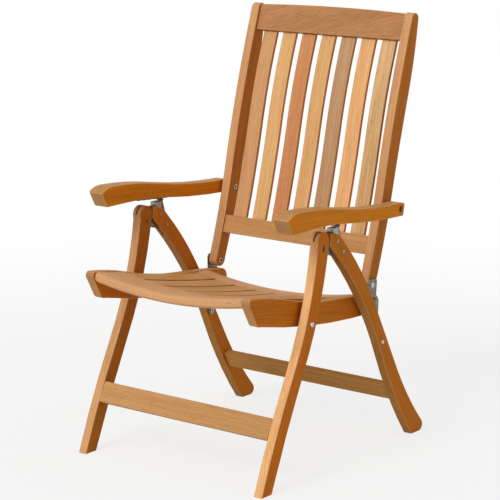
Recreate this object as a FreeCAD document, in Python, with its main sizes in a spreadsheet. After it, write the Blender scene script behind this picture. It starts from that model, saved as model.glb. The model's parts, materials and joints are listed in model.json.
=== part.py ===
import FreeCAD, Part
import math
import os

import Sketcher
from FreeCAD import Placement, Rotation, Vector

os.makedirs("parts", exist_ok=True)

# Folding slatted armchair in teak. X is the width, the front faces -Y, +Z is up, and the feet
# stand on Z = 0. Side views are drawn in (Y, Z); left and right are the sitter's.

doc = FreeCAD.newDocument("folding_armchair")

sizes = {
    "inner_half": 229.2,
    "stile_thick": 25.2,
    "leg_thick": 24.6,
    "running": 0.05,
    "side_play": 0.3,
    "bracket_thick": 4.0,
    "plate_thick": 3.0,
    "link_thick": 3.0,
    "link_half_wide": 11.0,
    "link_inside_gap": 1.0,
    "link_outside_gap": 1.5,
    "stub_gap": 0.4,
    "leg_bolt_radius": 5.0,
    "link_bolt_radius": 4.0,
    "arm_bolt_radius": 4.5,
    "bolt_set_back": 3.0,
    "head_radius": 8.0,
    "head_thick": 3.6,
    "sunk_head_radius": 7.5,
    "head_room": 1.5,
    "counterbore_deep": 6.0,
    "nut_radius": 6.5,
    "nut_thick": 2.0,
    "rack_pin_radius": 3.0,
    "pin_set_back": 0.5,
    "notch_room": 0.8,
    "rack_wide": 20.0,
    "blade_room": 2.0,
    "sleeve_wall": 2.5,
    "flange_radius": 12.0,
    "arm_inset": 2.3,
    "arm_rear_wide": 33.8,
    "arm_nose_wide": 46.5,
    "arm_sawn_off": 1.5,
    "front_board_thick": 24.0,
    "front_board_wide": 114.0,
    "rear_board_thick": 20.0,
    "rear_board_wide": 44.0,
    "seat_dish": 21.0,
    "seat_slat_gap": 10.0,
    "seat_side_gap": 4.5,
    "back_slat_wide": 43.0,
    "top_rail_thick": 22.0,
    "top_rail_tall": 69.0,
    "top_rail_crown": 5.0,
    "bottom_rail_thick": 22.0,
    "bottom_rail_tall": 47.0,
    "nosing_break": 6.0,
    "arm_edge_break": 4.0,
}
sheet = doc.addObject("Spreadsheet::Sheet", "Sizes")
for row, (alias, value) in enumerate(sizes.items(), start=1):
    sheet.set(f"A{row}", alias)
    sheet.set(f"B{row}", str(value))
    sheet.setAlias(f"B{row}", alias)
doc.recompute()

# Planes across the width, from the middle outwards
STILE_INNER = "Sizes.inner_half"
STILE_OUTER = f"{STILE_INNER} + Sizes.stile_thick"
PLATE_OUTER = f"{STILE_OUTER} + Sizes.side_play + Sizes.plate_thick"
HEAD_OUTER = f"{PLATE_OUTER} + Sizes.side_play + Sizes.nut_thick"
LINK_INNER = f"{HEAD_OUTER} + Sizes.link_inside_gap"
LINK_OUTER = f"{LINK_INNER} + Sizes.link_thick"
LEG_INNER = f"{LINK_OUTER} + Sizes.link_outside_gap"
LEG_OUTER = f"{LEG_INNER} + Sizes.leg_thick"
LEG_MIDDLE = f"{LEG_INNER} + Sizes.leg_thick / 2"
BRACKET_OUTER = f"{LEG_MIDDLE} + Sizes.bracket_thick / 2"
ARM_INNER = f"{LEG_INNER} - Sizes.arm_inset"

# Holes and sinkings that are cut for what goes in them
LEG_BOLT_HOLE = "Sizes.leg_bolt_radius + Sizes.running"
LINK_BOLT_HOLE = "Sizes.link_bolt_radius + Sizes.running"
ARM_BOLT_HOLE = "Sizes.arm_bolt_radius + Sizes.running"
SLEEVE = "Sizes.arm_bolt_radius + Sizes.sleeve_wall"
COUNTERBORE = "Sizes.sunk_head_radius + Sizes.head_room"
SLOT_WIDE = "Sizes.bracket_thick + 2 * Sizes.side_play"
ARM_BLANK = "Sizes.arm_nose_wide + Sizes.arm_sawn_off"
THROUGH_ALL = "700"
ROUND = "round"
HEXAGON = "hexagon"

# The drawing's zero lies 17 mm behind the middle of the folded-out chair
MIDDLE_Y = -17.0

# Pivots in the side view
LEG_PIVOT = (-86.4, 560.7)
SEAT_PIVOT = (-135.0, 383.6)
BACK_PIVOT = (170.0, 420.0)
ARM_PIVOT = (233.7, 609.3)
LINK_LOW = (172.4, 277.0)
LINK_HIGH = (179.0, 375.0)
RACK_PIN = (-20.0, 601.0)

SIDES = (("left", 1), ("right", -1))
nodes = []


def keep(piece, label):
    piece.Label = label
    nodes.append(piece)


def place(piece, side, x_expression, y=MIDDLE_Y, z=0.0):
    piece.Placement = Placement(Vector(0, y, z), Rotation())
    sign = "" if side > 0 else "-"
    piece.setExpression("Placement.Base.x", f"{sign}({x_expression})")


def new_body(label):
    body = doc.addObject("PartDesign::Body", label)
    keep(body, label)
    return body


def sketch_on(body, name, plane="YZ_Plane", offset=None):
    sketch = body.newObject("Sketcher::SketchObject", name)
    support = [item for item in body.Origin.OriginFeatures if item.Role == plane][0]
    sketch.AttachmentSupport = [(support, "")]
    sketch.MapMode = "FlatFace"
    if offset:
        sketch.setExpression("AttachmentOffset.Base.z", offset)
    return sketch


def flat(point):
    return Vector(point[0], point[1], 0)


def outline(sketch, start, steps):
    # Each step is a straight to one point, an arc through two, or a smooth curve through more
    here = start
    for step in steps:
        end = step[-1]
        if len(step) == 1:
            sketch.addGeometry(Part.LineSegment(flat(here), flat(end)))
        elif len(step) == 2:
            sketch.addGeometry(Part.Arc(flat(here), flat(step[0]), flat(end)))
        else:
            curve = Part.BSplineCurve()
            curve.interpolate([flat(point) for point in [here] + step])
            sketch.addGeometry(curve)
        here = end


def circle(sketch, centre, radius):
    index = sketch.addGeometry(Part.Circle(flat(centre), Vector(0, 0, 1), 5.0))
    sketch.addConstraint(Sketcher.Constraint("DistanceX", -1, 1, index, 3, centre[0]))
    sketch.addConstraint(Sketcher.Constraint("DistanceY", -1, 1, index, 3, centre[1]))
    bound = sketch.addConstraint(Sketcher.Constraint("Radius", index, 5.0))
    sketch.setExpression(f"Constraints[{bound}]", radius)


def pad(body, sketch, length, toward=1, midplane=False):
    feature = body.newObject("PartDesign::Pad", sketch.Name + "Pad")
    feature.Profile = sketch
    feature.SideType = "Symmetric" if midplane else "One side"
    feature.Reversed = toward < 0
    feature.setExpression("Length", length)
    body.Tip = feature
    doc.recompute()
    return feature


def pocket(body, sketch, length, toward=1, midplane=False):
    before = body.Shape.Volume
    feature = body.newObject("PartDesign::Pocket", sketch.Name + "Pocket")
    feature.Profile = sketch
    feature.SideType = "Symmetric" if midplane else "One side"
    feature.Reversed = toward > 0
    feature.setExpression("Length", length)
    body.Tip = feature
    doc.recompute()
    if body.Shape.Volume >= before - 0.01:
        raise ValueError(f"{feature.Name} in {body.Label} cuts nothing")
    return feature


def dress(body, kind, size, wanted):
    # Rounds or bevels the wanted edges of what the body is so far
    base = body.Tip
    edges = enumerate(base.Shape.Edges, start=1)
    names = [f"Edge{index}" for index, edge in edges if wanted(edge)]
    feature = body.newObject(f"PartDesign::{kind}", f"{kind}Of{base.Name}")
    feature.Base = (base, names)
    feature.setExpression("Radius" if kind == "Fillet" else "Size", size)
    body.Tip = feature
    doc.recompute()


def hole(body, name, centre, radius, length, toward, offset=None):
    sketch = sketch_on(body, name, offset=offset)
    circle(sketch, centre, radius)
    pocket(body, sketch, length, toward)


def rod(name, kind, centre, radius, start, length):
    # A round or hexagonal rod that lies across the width
    piece = doc.addObject("Part::Prism" if kind == HEXAGON else "Part::Cylinder", name)
    piece.Placement = Placement(
        Vector(0, centre[0] + MIDDLE_Y, centre[1]), Rotation(Vector(0, 1, 0), 90)
    )
    piece.setExpression("Circumradius" if kind == HEXAGON else "Radius", radius)
    piece.setExpression("Height", length)
    piece.setExpression("Placement.Base.x", start)
    return piece


def turned(name, side, centre, steps, bore):
    # Coaxial rods: each step is a kind, a radius, an inner end and an outer end
    rods = []
    for index, (kind, radius, inner, outer) in enumerate(steps):
        start = inner if side > 0 else f"-({outer})"
        rods.append(rod(f"{name}_{index}", kind, centre, radius, start, f"({outer}) - ({inner})"))
    solid = rods[0]
    if len(rods) > 1:
        solid = doc.addObject("Part::MultiFuse", f"{name}_joined")
        solid.Shapes = rods
        solid.Refine = True
    if bore:
        whole = f"2 * {THROUGH_ALL}"
        tube = doc.addObject("Part::Cut", f"{name}_tube")
        tube.Base = solid
        tube.Tool = rod(f"{name}_bore", ROUND, centre, bore, f"-{THROUGH_ALL}", whole)
        solid = tube
    return solid


def fasteners(label, centres, steps, bore=None):
    # Alike turned pieces on both sides of the chair, kept together as one node
    group = doc.addObject("Part::Compound", label)
    group.Links = [
        turned(f"{label}_{name}_{index}", side, centre, steps, bore)
        for name, side in SIDES
        for index, centre in enumerate(centres)
    ]
    keep(group, label)


# Front legs, with the half-round top sawn open for the bracket
FRONT_LEG_START = (-332.6, 0.0)
FRONT_LEG = [
    [(-274.2, 139.7), (-207.1, 275.7)],
    [(-147.5, 415), (-112, 562)],
    [(-88, 587), (-67, 566)],
    [(-103.4, 417.8), (-163.2, 277)],
    [(-230.9, 139.9), (-292.5, 0)],
    [FRONT_LEG_START],
]
FRONT_SLOT_START = (-160, 523)
FRONT_SLOT = [[(-60, 499)], [(-40, 620)], [(-160, 620)], [FRONT_SLOT_START]]


def saw_slot(body, side, start, steps):
    # A slot in the middle of a leg's thickness, for the steel bracket
    sign = "-" if side > 0 else ""
    middle = f"{sign}(Sizes.leg_thick - ({SLOT_WIDE})) / 2"
    slot = sketch_on(body, "Slot" + body.Label, offset=middle)
    outline(slot, start, steps)
    pocket(body, slot, SLOT_WIDE, -side)


def front_leg(label, side):
    body = new_body(label)
    place(body, side, LEG_OUTER)
    sketch = sketch_on(body, "Side" + label)
    outline(sketch, FRONT_LEG_START, FRONT_LEG)
    pad(body, sketch, "Sizes.leg_thick", -side)
    saw_slot(body, side, FRONT_SLOT_START, FRONT_SLOT)
    hole(body, "Pivot" + label, LEG_PIVOT, LEG_BOLT_HOLE, "Sizes.leg_thick", -side)
    hole(body, "Sunk" + label, LEG_PIVOT, COUNTERBORE, "Sizes.counterbore_deep", -side)
    hole(body, "Seat" + label, SEAT_PIVOT, LEG_BOLT_HOLE, "Sizes.leg_thick", -side)


# Rear legs: a rounded heel, and a bevelled top that butts on the front leg as the open stop
REAR_LEG_START = (315.5, 0.0)
REAR_LEG = [
    [(351, 0)],
    [(360.6, 14.5), (357.3, 31.5)],
    [(246.3, 191.3), (148.9, 359.8)],
    [(72.4, 478.8), (-22, 584)],
    [(-58, 594)],
    [(-63.8, 566)],
    [(72.2, 412.5), (174.3, 234.3)],
    [(238.2, 113), REAR_LEG_START],
]
REAR_SLOT_START = (-20, 500)
REAR_SLOT = [[(40, 550)], [(-10, 620)], [(-90, 620)], [(-90, 540)], [REAR_SLOT_START]]


def rear_leg(label, side):
    body = new_body(label)
    place(body, side, LEG_OUTER)
    sketch = sketch_on(body, "Side" + label)
    outline(sketch, REAR_LEG_START, REAR_LEG)
    pad(body, sketch, "Sizes.leg_thick", -side)
    saw_slot(body, side, REAR_SLOT_START, REAR_SLOT)
    hole(body, "Link" + label, LINK_LOW, LINK_BOLT_HOLE, "Sizes.leg_thick", -side)


# Stretchers between the legs, as their four corners in the side view
FRONT_STRETCHER = [(-281, 128), (-256, 175), (-236, 164), (-261, 117)]
REAR_STRETCHER = [(231, 144), (254, 103), (270, 112), (247, 153)]


def crossbar(label, corners, half_width):
    body = new_body(label)
    body.Placement = Placement(Vector(0, MIDDLE_Y, 0), Rotation())
    sketch = sketch_on(body, "Side" + label)
    outline(sketch, corners[0], [[point] for point in corners[1:] + corners[:1]])
    pad(body, sketch, f"2 * ({half_width})", midplane=True)


# Steel bracket in each leg's sawn slot, from the leg pivot to the cross pin that carries the armrest
BRACKET_START = (-90, 547.2)
BRACKET = [
    [(-12, 527)],
    [(1, 531)],
    [(6, 547)],
    [(-13.2, 602)],
    [(-20, 608), (-27, 602)],
    [(-33, 585)],
    [(-82.6, 574.3)],
    [(-93.4, 572.9)],
    [(-100.4, 561.5)],
    [BRACKET_START],
]


def bracket(label, side):
    body = new_body(label)
    place(body, side, BRACKET_OUTER)
    sketch = sketch_on(body, "Side" + label)
    outline(sketch, BRACKET_START, BRACKET)
    pad(body, sketch, "Sizes.bracket_thick", -side)
    hole(body, "Pivot" + label, LEG_PIVOT, LEG_BOLT_HOLE, "Sizes.bracket_thick", -side)
    sign = "-" if side > 0 else ""
    pin = sketch_on(body, "Pin" + label, offset=f"{sign}Sizes.bracket_thick / 2")
    circle(pin, RACK_PIN, "Sizes.rack_pin_radius")
    pad(body, pin, "Sizes.rack_wide - 2 * Sizes.pin_set_back", midplane=True)


# Seat side rails, bowed at the front and rounded about the link pivot at the rear
SEAT_RAIL_START = (-336, 477)
SEAT_RAIL = [
    [(-257.7, 465.7), (-180.8, 447.2)],
    [(-91.2, 425.4), (0.3, 413.3)],
    [(92.3, 405.5), (184, 395)],
    [(199, 371), (184, 347)],
    [(-53.5, 361.8), (-288, 402)],
    [(-320, 432), SEAT_RAIL_START],
]


def seat_rail(label, side):
    body = new_body(label)
    place(body, side, STILE_OUTER)
    sketch = sketch_on(body, "Side" + label)
    outline(sketch, SEAT_RAIL_START, SEAT_RAIL)
    pad(body, sketch, "Sizes.stile_thick", -side)
    hole(body, "Pivot" + label, SEAT_PIVOT, LEG_BOLT_HOLE, "Sizes.stile_thick", -side)


def dished_board(label, rear_edge, slope, wide, thick):
    # A board across the seat, lower in the middle by the dish, tilted along the seat
    body = new_body(label)
    tilt = Rotation(Vector(1, 0, 0), -slope)
    body.Placement = Placement(Vector(0, rear_edge[0] + MIDDLE_Y, rear_edge[1]), tilt)
    half = sheet.get("inner_half")
    dish = sheet.get("seat_dish")
    depth = sheet.get(thick)
    sketch = sketch_on(body, "Front" + label, "XZ_Plane")
    low = -dish - depth
    top = [[(0, -dish), (half, 0)], [(half, -depth)]]
    outline(sketch, (-half, 0), top + [[(0, low), (-half, -depth)], [(-half, 0)]])
    pad(body, sketch, f"Sizes.{wide}", 1)
    return body


FRONT_BOARD_REAR = (-214.0, 455.6)
FRONT_BOARD_SLOPE = 10.0
REAR_BOARD_FRONT = (75.1, 405.4)
REAR_BOARD_SLOPE = 4.0


def front_board():
    name = "seat_front_rail"
    body = dished_board(
        name, FRONT_BOARD_REAR, FRONT_BOARD_SLOPE, "front_board_wide", "front_board_thick"
    )
    front = -sheet.get("front_board_wide")
    half = sheet.get("inner_half")

    def front_edge(edge):
        box = edge.BoundBox
        return box.XLength > half and box.YMax < front + sheet.get("running")

    dress(body, "Chamfer", "Sizes.nosing_break", front_edge)


def rear_board():
    slope = math.radians(REAR_BOARD_SLOPE)
    wide = sheet.get("rear_board_wide")
    front = REAR_BOARD_FRONT
    rear_edge = (front[0] + wide * math.cos(slope), front[1] - wide * math.sin(slope))
    dished_board("seat_rear_rail", rear_edge, REAR_BOARD_SLOPE, "rear_board_wide", "rear_board_thick")


# Seat slats, flush with the dished boards and butted between them. Each is drawn from the middle
# of the straight line between its upper ends, and rolled about that line to follow the dish.
SEAT_SLATS = 7
SEAT_SLAT_THICK = 14.0
SEAT_SLAT_SAG = 8.0
SEAT_SLAT_PLAY = 0.6


def butt(point, slope, drop):
    # Where a board's end face stands after going down it by a distance
    lean = math.radians(slope)
    return (point[0] - drop * math.sin(lean), point[1] - drop * math.cos(lean))


def seat_slat(index):
    body = new_body(f"seat_slat_{index + 1}")
    count = SEAT_SLATS
    half = sheet.get("inner_half")
    gap = sheet.get("seat_slat_gap")
    wide = (2 * half - 2 * sheet.get("seat_side_gap") - (count - 1) * gap) / count
    across = (index - (count - 1) / 2) * (wide + gap)
    dish = sheet.get("seat_dish")
    drop = dish * (1 - (across / half) ** 2)
    front = butt(FRONT_BOARD_REAR, FRONT_BOARD_SLOPE, drop)
    rear = butt(REAR_BOARD_FRONT, REAR_BOARD_SLOPE, drop)
    middle = Vector(0, (front[0] + rear[0]) / 2, (front[1] + rear[1]) / 2)
    along = Vector(0, rear[0] - front[0], rear[1] - front[1])
    roll = math.degrees(math.atan(2 * dish * across / half ** 2))
    base = Vector(across, middle.y + MIDDLE_Y, middle.z)
    body.Placement = Placement(base, Rotation(along, -roll))
    front_top = (front[0] - middle.y + SEAT_SLAT_PLAY, front[1] - middle.z)
    rear_top = (rear[0] - middle.y - SEAT_SLAT_PLAY, rear[1] - middle.z)
    front_low = butt(front_top, FRONT_BOARD_SLOPE, SEAT_SLAT_THICK)
    rear_low = butt(rear_top, REAR_BOARD_SLOPE, SEAT_SLAT_THICK)
    sketch = sketch_on(body, f"SideSeatSlat{index}")
    outline(sketch, front_top, [
        [(0, -SEAT_SLAT_SAG), rear_top],
        [rear_low],
        [(0, -SEAT_SLAT_SAG - SEAT_SLAT_THICK), front_low],
        [front_top],
    ])
    slats_wide = f"2 * Sizes.inner_half - 2 * Sizes.seat_side_gap - {count - 1} * Sizes.seat_slat_gap"
    pad(body, sketch, f"({slats_wide}) / {count}", midplane=True)


# Steel hinge plates: screwed to the seat rails, they carry the backrest and the folding links
HINGE_PLATE_START = (150, 428)
HINGE_PLATE = [
    [(154, 436)],
    [(187, 436)],
    [(191, 428)],
    [(188, 391)],
    [(197.6, 373), (179, 356)],
    [(164, 363), (160, 375)],
    [(151, 397)],
    [HINGE_PLATE_START],
]


def hinge_plate(label, side):
    body = new_body(label)
    place(body, side, PLATE_OUTER)
    sketch = sketch_on(body, "Side" + label)
    outline(sketch, HINGE_PLATE_START, HINGE_PLATE)
    pad(body, sketch, "Sizes.plate_thick", -side)
    hole(body, "Pivot" + label, BACK_PIVOT, LEG_BOLT_HOLE, "Sizes.plate_thick", -side)


def folding_link(label, side):
    body = new_body(label)
    place(body, side, LINK_OUTER)
    long_way = Vector(LINK_HIGH[0] - LINK_LOW[0], LINK_HIGH[1] - LINK_LOW[1], 0)
    along = Vector(long_way)
    along.normalize()
    reach = sheet.get("link_half_wide")
    across = Vector(-along.y, along.x, 0)
    low = flat(LINK_LOW)
    high = flat(LINK_HIGH)
    sketch = sketch_on(body, "Side" + label)
    start = low + across * reach
    corners = [
        [low - along * reach, low - across * reach],
        [high - across * reach],
        [high + along * reach, high + across * reach],
        [start],
    ]
    outline(sketch, start, corners)
    pad(body, sketch, "Sizes.link_thick", -side)
    hole(body, "Low" + label, LINK_LOW, LINK_BOLT_HOLE, "Sizes.link_thick", -side)


# Backrest stiles, a gentle double curve with a half-round foot about the back pivot
STILE_START = (151.0, 421.0)
STILE = [
    [(192.6, 550.7), (225.4, 683)],
    [(275.6, 881.1), (337, 1076)],
    [(353, 1089.5), (367.7, 1076)],
    [(350.1, 975.7), (324.4, 877.2)],
    [(291.6, 762.9), (261.4, 648)],
    [(229.3, 533.5), (191, 421)],
    [(171, 403), STILE_START],
]


def stile(label, side):
    body = new_body(label)
    place(body, side, STILE_OUTER)
    sketch = sketch_on(body, "Side" + label)
    outline(sketch, STILE_START, STILE)
    pad(body, sketch, "Sizes.stile_thick", -side)
    hole(body, "Back" + label, BACK_PIVOT, LEG_BOLT_HOLE, "Sizes.stile_thick", -side)
    hole(body, "Arm" + label, ARM_PIVOT, ARM_BOLT_HOLE, "Sizes.stile_thick", -side)


# Back slats follow the stiles' curve, a little behind their front edge
BACK_SLATS = 7
BACK_SLAT_START = (194.4, 539.6)
BACK_SLAT = [
    [(228.9, 659.7), (258.3, 781.2)],
    [(289.5, 902.2), (329.5, 1020.5)],
    [(339, 1017.4)],
    [(298.9, 899.2), (267.8, 778.2)],
    [(238.5, 656.7), (203.9, 536.7)],
    [BACK_SLAT_START],
]


def back_slat(index):
    body = new_body(f"back_slat_{index + 1}")
    count = BACK_SLATS
    half = sheet.get("inner_half")
    wide = sheet.get("back_slat_wide")
    pitch = wide + (2 * half - count * wide) / (count + 1)
    across = (index - (count - 1) / 2) * pitch
    body.Placement = Placement(Vector(across, MIDDLE_Y, 0), Rotation())
    sketch = sketch_on(body, f"SideBackSlat{index}")
    outline(sketch, BACK_SLAT_START, BACK_SLAT)
    pad(body, sketch, "Sizes.back_slat_wide", midplane=True)


# Each rail's middle of the edge that meets the slats, and its lean from upright
TOP_RAIL = ((336.5, 1018.5), 18.5)
BOTTOM_RAIL = ((204.2, 536.5), 17.0)


def back_rail(label, seat, tall, thick, crown=None):
    # A rail between the stiles: the crowned one rises from the slats, the plain one hangs below
    middle, lean = seat
    body = new_body(label)
    turn = Rotation(Vector(1, 0, 0), -lean)
    body.Placement = Placement(Vector(0, middle[0] + MIDDLE_Y, middle[1]), turn)
    half = sheet.get("inner_half")
    height = sheet.get(tall)
    sketch = sketch_on(body, "Front" + label, "XZ_Plane")
    if crown:
        upper = [[(0, height + sheet.get(crown)), (-half, height)]]
        outline(sketch, (-half, 0), [[(half, 0)], [(half, height)]] + upper + [[(-half, 0)]])
    else:
        corners = [[(half, 0)], [(half, -height)], [(-half, -height)], [(-half, 0)]]
        outline(sketch, (-half, 0), corners)
    pad(body, sketch, f"Sizes.{thick}", midplane=True)


# Armrests: a crowned top, a drooping nose and a half-round rear end about the arm pivot
ARM_BEAK = (-297, 643)
ARM_TOP = [
    [(-262.3, 663.9), (-222.1, 670.3)],
    [(-127.1, 664.2), (-32.7, 651.4)],
    [(102.2, 633.2), (238, 626)],
    [(253, 611), (247, 594)],
]
ARM_UNDERSIDE = [
    [(123.2, 595.8), (0.1, 610.4)],
    [(-82.1, 618.2), (-164.6, 616)],
    [(-233.3, 618.1), ARM_BEAK],
]
# The outer edge in plan: it widens to the nose, which is rounded off
ARM_REAR_Y = 256.0
NOSE_Y = -300.0
NOSE_RADIUS = 24.0
ARM_CLEAR = 20.0
RACK_LEAN = 4.1
RACK_NOTCHES = 5
RACK_FIRST = 252.4
RACK_PITCH = 21.15
RACK_TOP = 11.5
RACK_ROOF = 15.0
RACK_TIPS = 23.1
RACK_MARGIN = 15.0
RACK_FIT = 0.3
NOTCH_CENTRE = 24.4
NOTCH_FLANK = math.radians(30)


def under_arm(along, below):
    # A point along the armrest's underside from the arm pivot, and below the pivot line
    lean = math.radians(RACK_LEAN)
    y = ARM_PIVOT[0] - along * math.cos(lean) - below * math.sin(lean)
    z = ARM_PIVOT[1] + along * math.sin(lean) - below * math.cos(lean)
    return (y, z)


RACK_START = RACK_FIRST - RACK_MARGIN
RACK_END = RACK_FIRST + (RACK_NOTCHES - 1) * RACK_PITCH + RACK_MARGIN
RACK_BELOW = RACK_TIPS + 5.0


def trim_plan(body, side):
    rear = sheet.get("arm_rear_wide")
    nose = sheet.get("arm_nose_wide")
    beyond = nose + ARM_CLEAR
    start = (side * rear, ARM_REAR_Y)
    inset = NOSE_RADIUS * (1 - math.sqrt(0.5))
    tip = (side * (nose - NOSE_RADIUS), NOSE_Y)
    plan = sketch_on(body, "Plan" + body.Label, "XY_Plane")
    outline(plan, start, [
        [(side * nose, NOSE_Y + NOSE_RADIUS)],
        [(side * (nose - inset), NOSE_Y + inset), tip],
        [(tip[0], NOSE_Y - ARM_CLEAR)],
        [(side * beyond, NOSE_Y - ARM_CLEAR)],
        [(side * beyond, ARM_REAR_Y)],
        [start],
    ])
    pocket(body, plan, THROUGH_ALL, 1)


def armrest(label, side):
    body = new_body(label)
    place(body, side, ARM_INNER)
    sketch = sketch_on(body, "Side" + label)
    outline(sketch, ARM_BEAK, ARM_TOP + ARM_UNDERSIDE)
    pad(body, sketch, ARM_BLANK, side)
    trim_plan(body, side)
    long_edge = 1.5 * NOSE_RADIUS
    dress(body, "Chamfer", "Sizes.arm_edge_break", lambda edge: edge.BoundBox.YLength > long_edge)
    outwards = "" if side > 0 else "-"
    groove_wide = "Sizes.rack_wide + 2 * Sizes.side_play"
    groove_start = f"({LEG_MIDDLE}) - ({ARM_INNER}) - ({groove_wide}) / 2"
    groove = sketch_on(body, "Groove" + label, offset=f"{outwards}({groove_start})")
    corners = [
        under_arm(RACK_START - RACK_FIT, RACK_TOP),
        under_arm(RACK_END + RACK_FIT, RACK_TOP),
        under_arm(RACK_END + RACK_FIT, RACK_BELOW),
        under_arm(RACK_START - RACK_FIT, RACK_BELOW),
    ]
    outline(groove, corners[0], [[point] for point in corners[1:] + corners[:1]])
    pocket(body, groove, groove_wide, side)
    hole(body, "Pivot" + label, ARM_PIVOT, f"{SLEEVE} + Sizes.running", ARM_BLANK, side)
    sunk = f"{outwards}(Sizes.arm_rear_wide - Sizes.counterbore_deep)"
    hole(body, "Sunk" + label, ARM_PIVOT, COUNTERBORE, ARM_BLANK, side, sunk)


def arm_rack(label, side):
    # Its notches are half hexagons about the pin
    body = new_body(label)
    place(body, side, LEG_MIDDLE)
    sketch = sketch_on(body, "Side" + label)
    steps = [[under_arm(RACK_END, RACK_TOP)], [under_arm(RACK_END, RACK_TIPS)]]
    notch_radius = sheet.get("rack_pin_radius") + sheet.get("notch_room")
    roof = notch_radius * math.tan(NOTCH_FLANK)
    rise = (NOTCH_CENTRE - RACK_TIPS) * math.sin(NOTCH_FLANK)
    mouth = (notch_radius - rise) / math.cos(NOTCH_FLANK)
    for notch in reversed(range(RACK_NOTCHES)):
        at = RACK_FIRST + notch * RACK_PITCH
        steps.append([under_arm(at + mouth, RACK_TIPS)])
        steps.append([under_arm(at + roof, NOTCH_CENTRE - notch_radius)])
        steps.append([under_arm(at - roof, NOTCH_CENTRE - notch_radius)])
        steps.append([under_arm(at - mouth, RACK_TIPS)])
    steps.append([under_arm(RACK_START, RACK_TIPS)])
    steps.append([under_arm(RACK_START, RACK_TOP)])
    outline(sketch, under_arm(RACK_START, RACK_TOP), steps)
    pad(body, sketch, "Sizes.rack_wide", midplane=True)
    gap = sketch_on(body, "Gap" + label)
    corners = [
        under_arm(RACK_START - RACK_FIT, RACK_ROOF),
        under_arm(RACK_END + RACK_FIT, RACK_ROOF),
        under_arm(RACK_END + RACK_FIT, RACK_BELOW),
        under_arm(RACK_START - RACK_FIT, RACK_BELOW),
    ]
    outline(gap, corners[0], [[point] for point in corners[1:] + corners[:1]])
    pocket(body, gap, "Sizes.bracket_thick + 2 * Sizes.blade_room", midplane=True)


# Fixed front frame
for name, side in SIDES:
    front_leg(f"front_leg_{name}", side)
crossbar("front_stretcher", FRONT_STRETCHER, LEG_INNER)
SUNK_FLOOR = f"{LEG_OUTER} - Sizes.counterbore_deep"
fasteners("leg_pivot_bolts", [LEG_PIVOT], [
    (ROUND, "Sizes.leg_bolt_radius", LEG_INNER, SUNK_FLOOR),
    (HEXAGON, "Sizes.sunk_head_radius", SUNK_FLOOR, f"{SUNK_FLOOR} + Sizes.head_thick"),
])
fasteners("seat_pivot_bolts", [SEAT_PIVOT], [
    (ROUND, "Sizes.leg_bolt_radius", f"{STILE_INNER} + Sizes.bolt_set_back", LEG_OUTER),
    (HEXAGON, "Sizes.head_radius", LEG_OUTER, f"{LEG_OUTER} + Sizes.head_thick"),
])

# Rear frame
for name, side in SIDES:
    rear_leg(f"rear_leg_{name}", side)
crossbar("rear_stretcher", REAR_STRETCHER, LEG_INNER)
for name, side in SIDES:
    bracket(f"leg_bracket_{name}", side)
LINK_NUT = f"{LINK_INNER} - Sizes.side_play"
fasteners("link_bolts", [LINK_LOW], [
    (ROUND, "Sizes.link_bolt_radius", f"{LINK_NUT} - Sizes.nut_thick", LEG_OUTER),
    (HEXAGON, "Sizes.nut_radius", f"{LINK_NUT} - Sizes.nut_thick", LINK_NUT),
    (HEXAGON, "Sizes.nut_radius", LEG_OUTER, f"{LEG_OUTER} + Sizes.nut_thick"),
])

# Seat
for name, side in SIDES:
    seat_rail(f"seat_rail_{name}", side)
front_board()
rear_board()
for index in range(SEAT_SLATS):
    seat_slat(index)
for name, side in SIDES:
    hinge_plate(f"hinge_plate_{name}", side)
fasteners("link_stubs", [LINK_HIGH], [
    (HEXAGON, "Sizes.nut_radius", PLATE_OUTER, f"{LINK_INNER} - Sizes.stub_gap"),
])
for name, side in SIDES:
    folding_link(f"folding_link_{name}", side)

# Backrest and its pivots
STILE_NUT = f"{STILE_INNER} - Sizes.side_play"
BACK_HEAD = f"{PLATE_OUTER} + Sizes.side_play"
fasteners("back_pivot_bolts", [BACK_PIVOT], [
    (ROUND, "Sizes.leg_bolt_radius", f"{STILE_NUT} - Sizes.nut_thick", BACK_HEAD),
    (HEXAGON, "Sizes.nut_radius", f"{STILE_NUT} - Sizes.nut_thick", STILE_NUT),
    (HEXAGON, "Sizes.head_radius", BACK_HEAD, HEAD_OUTER),
])
for name, side in SIDES:
    stile(f"back_stile_{name}", side)
back_rail("back_top_rail", TOP_RAIL, "top_rail_tall", "top_rail_thick", "top_rail_crown")
back_rail("back_bottom_rail", BOTTOM_RAIL, "bottom_rail_tall", "bottom_rail_thick")
for index in range(BACK_SLATS):
    back_slat(index)

# Arms
ARM_SUNK = f"{ARM_INNER} + Sizes.arm_rear_wide - Sizes.counterbore_deep"
ARM_HEAD = f"{ARM_SUNK} + Sizes.side_play"
fasteners("arm_pivot_bolts", [ARM_PIVOT], [
    (ROUND, "Sizes.arm_bolt_radius", f"{STILE_NUT} - Sizes.nut_thick", ARM_HEAD),
    (HEXAGON, "Sizes.nut_radius", f"{STILE_NUT} - Sizes.nut_thick", STILE_NUT),
    (HEXAGON, "Sizes.sunk_head_radius", ARM_HEAD, f"{ARM_SUNK} + Sizes.head_thick"),
])
SLEEVE_INNER = f"{STILE_OUTER} + Sizes.side_play"
fasteners("arm_pivot_sleeves", [ARM_PIVOT], [
    (ROUND, SLEEVE, SLEEVE_INNER, ARM_SUNK),
    (HEXAGON, "Sizes.flange_radius", SLEEVE_INNER, f"{ARM_INNER} - Sizes.side_play"),
], ARM_BOLT_HOLE)
for name, side in SIDES:
    armrest(f"armrest_{name}", side)
    arm_rack(f"armrest_rack_{name}", side)

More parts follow.
